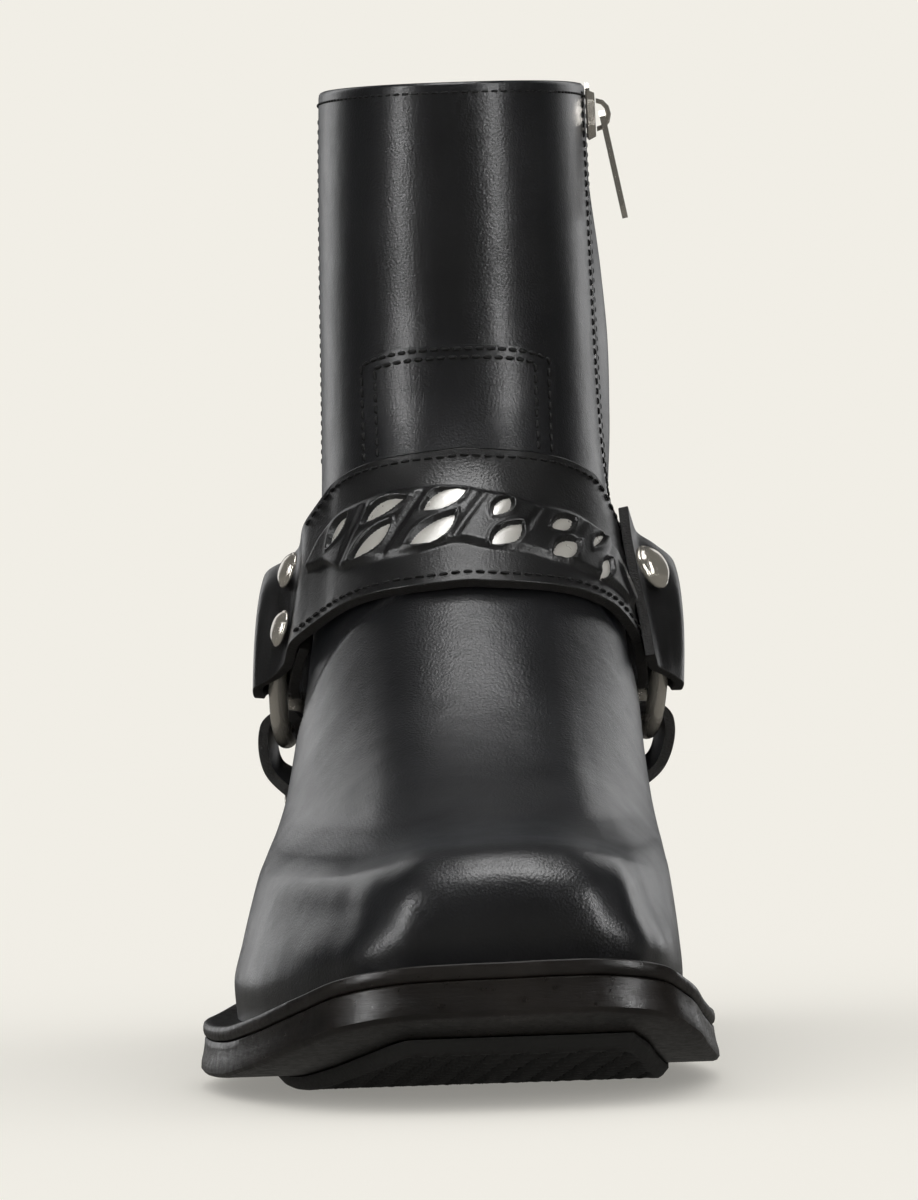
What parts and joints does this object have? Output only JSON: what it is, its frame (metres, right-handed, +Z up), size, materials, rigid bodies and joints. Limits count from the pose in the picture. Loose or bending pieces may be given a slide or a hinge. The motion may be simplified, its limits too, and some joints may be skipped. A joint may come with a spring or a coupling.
{
  "type": "harness boot",
  "caption": "Mid-height square-toed leather boot with ring harness, chain inlay strap, welted sole, stacked heel and inner side zip; right foot.",
  "frame": {"origin": "middle of the heel's contact with the ground", "axes": "-Y to the toe, +X to the inner (medial) side, +Z up; the boot stands on z = 0"},
  "size_m": [0.1134, 0.3018, 0.24],
  "materials": {
    "black_leather": "polished smooth-grain leather",
    "sole_edge": "waxed and burnished leather edge",
    "sole_rubber": "matt moulded rubber",
    "insole_board": "plain leather board",
    "nickel": "polished nickel plate",
    "brushed_metal": "brushed nickel-plated metal",
    "zip_metal": "polished nickel plate"
  },
  "bodies": {
    "boot": {"arch_strap_lateral": "black_leather", "arch_strap_medial": "black_leather", "chain_leaf_01": "brushed_metal", "chain_leaf_02": "brushed_metal", "chain_leaf_03": "brushed_metal", "chain_leaf_04": "brushed_metal", "chain_leaf_05": "brushed_metal", "chain_leaf_06": "brushed_metal", "chain_leaf_07": "brushed_metal", "chain_leaf_08": "brushed_metal", "chain_leaf_09": "brushed_metal", "chain_leaf_10": "brushed_metal", "chain_leaf_11": "brushed_metal", "forefoot_tread": "sole_rubber", "heel_stack": "sole_edge", "heel_strap": "black_leather", "heel_top_lift": "sole_rubber", "insole": "insole_board", "instep_patch": "black_leather", "instep_strap": "black_leather", "outsole": "sole_edge", "ring_lateral": "nickel", "ring_medial": "nickel", "rivet_arch_lateral": "nickel", "rivet_arch_medial": "nickel", "rivet_heel_lateral": "nickel", "rivet_heel_medial": "nickel", "rivet_instep_1": "nickel", "rivet_instep_2": "nickel", "snap_cap": "nickel", "upper": "black_leather", "welt": "sole_edge", "zip_bail": "zip_metal", "zip_chain": "zip_metal", "zip_slider": "zip_metal", "zip_stop": "zip_metal"},
    "zip_pull": {"zip_pull": "zip_metal"}
  },
  "joints": [
    {"name": "zip_pull_swing", "type": "hinge", "parent": "boot", "child": "zip_pull", "pos_m": [0.03724, -0.03821, 0.22515], "axis": [-0.0487, -0.9988, -0.0005], "range_deg": [0, 150]}
  ]
}
